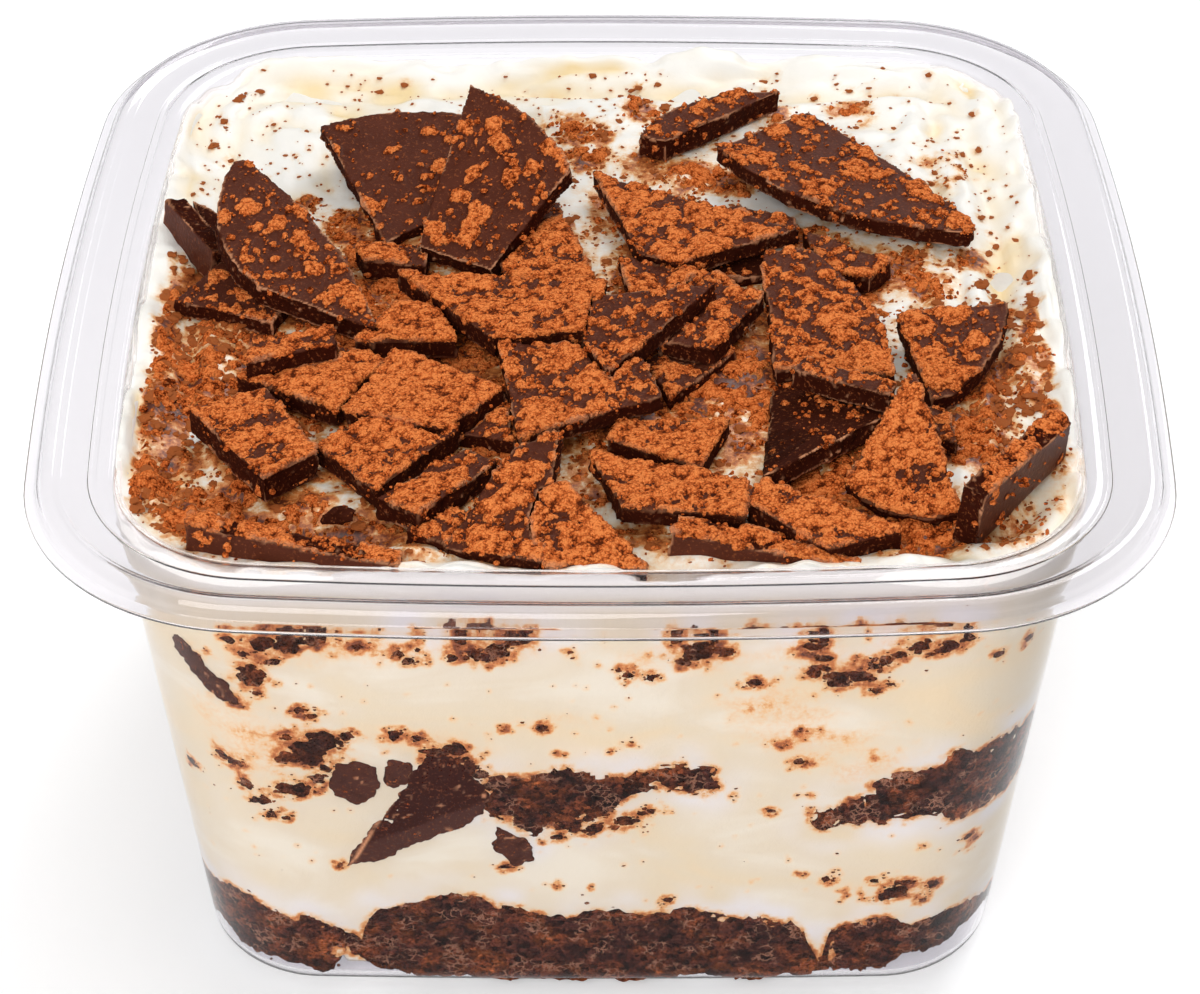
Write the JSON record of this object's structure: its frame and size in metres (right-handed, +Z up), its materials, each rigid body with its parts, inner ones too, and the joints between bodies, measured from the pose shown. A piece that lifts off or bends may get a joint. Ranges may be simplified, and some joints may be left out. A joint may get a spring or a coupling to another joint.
{
  "type": "layered mocha cake",
  "caption": "Square cream cake with dark sponge layers, set in a clear square tub and topped with a heap of broken chocolate plates dusted with cocoa.",
  "frame": {"origin": "middle of the flat underside of the tub", "axes": "+Z up, the pictured front is -Y, the width runs along X"},
  "size_m": [0.13, 0.13, 0.0814],
  "materials": {
    "clear_plastic": "thin clear thermoformed plastic, glossy, slightly lavender where the rim is seen edge on",
    "cream": "soft whipped cream, pale ivory, faint sheen, spatula ridges, cocoa specks",
    "sponge": "moist dark chocolate sponge, crumbly and porous",
    "chocolate": "dark chocolate broken from a poured disc, dull upper face, reddish broken edges, dusted with orange-brown cocoa"
  },
  "bodies": {
    "root": {"tub": "clear_plastic", "tall_back": "chocolate", "blade_left": "chocolate", "centre_wet": "chocolate", "bar_right": "chocolate", "point_right": "chocolate", "lean_front_right": "chocolate", "lean_front": "chocolate", "slab_back": "chocolate", "dome_right": "chocolate", "moon_right": "chocolate", "wing_right": "chocolate", "wet_plate": "chocolate", "big_centre": "chocolate", "centre_ledge": "chocolate", "centre_rim": "chocolate", "fan_back": "chocolate", "block_back": "chocolate", "dark_right": "chocolate", "wall_right": "chocolate", "sliver_front": "chocolate", "slab_front": "chocolate", "slab_front_right": "chocolate", "long_front": "chocolate", "shelf_left": "chocolate", "block_left": "chocolate", "big_left": "chocolate", "big_front_left": "chocolate", "block_front": "chocolate", "plate_mid_left": "chocolate", "spur_centre": "chocolate", "stub_left": "chocolate", "plate_left": "chocolate", "chip_centre": "chocolate", "low_front": "chocolate", "wedge_right": "chocolate", "under_back": "chocolate", "gap_back": "chocolate", "dark_centre": "chocolate", "low_left": "chocolate", "edge_left": "chocolate", "chip_left": "chocolate", "block_small_left": "chocolate", "chip_right": "chocolate", "chip_back": "chocolate", "chip_side": "chocolate", "chip_side_small": "chocolate", "shard_side": "chocolate", "flake_side": "chocolate", "sliver_corner": "chocolate", "sponge_bottom_left": "sponge", "sponge_bottom_middle": "sponge", "sponge_bottom_right": "sponge", "sponge_middle_left": "sponge", "sponge_middle_right": "sponge", "sponge_upper_left": "sponge", "sponge_upper_right": "sponge", "cream": "cream"}
  },
  "joints": []
}
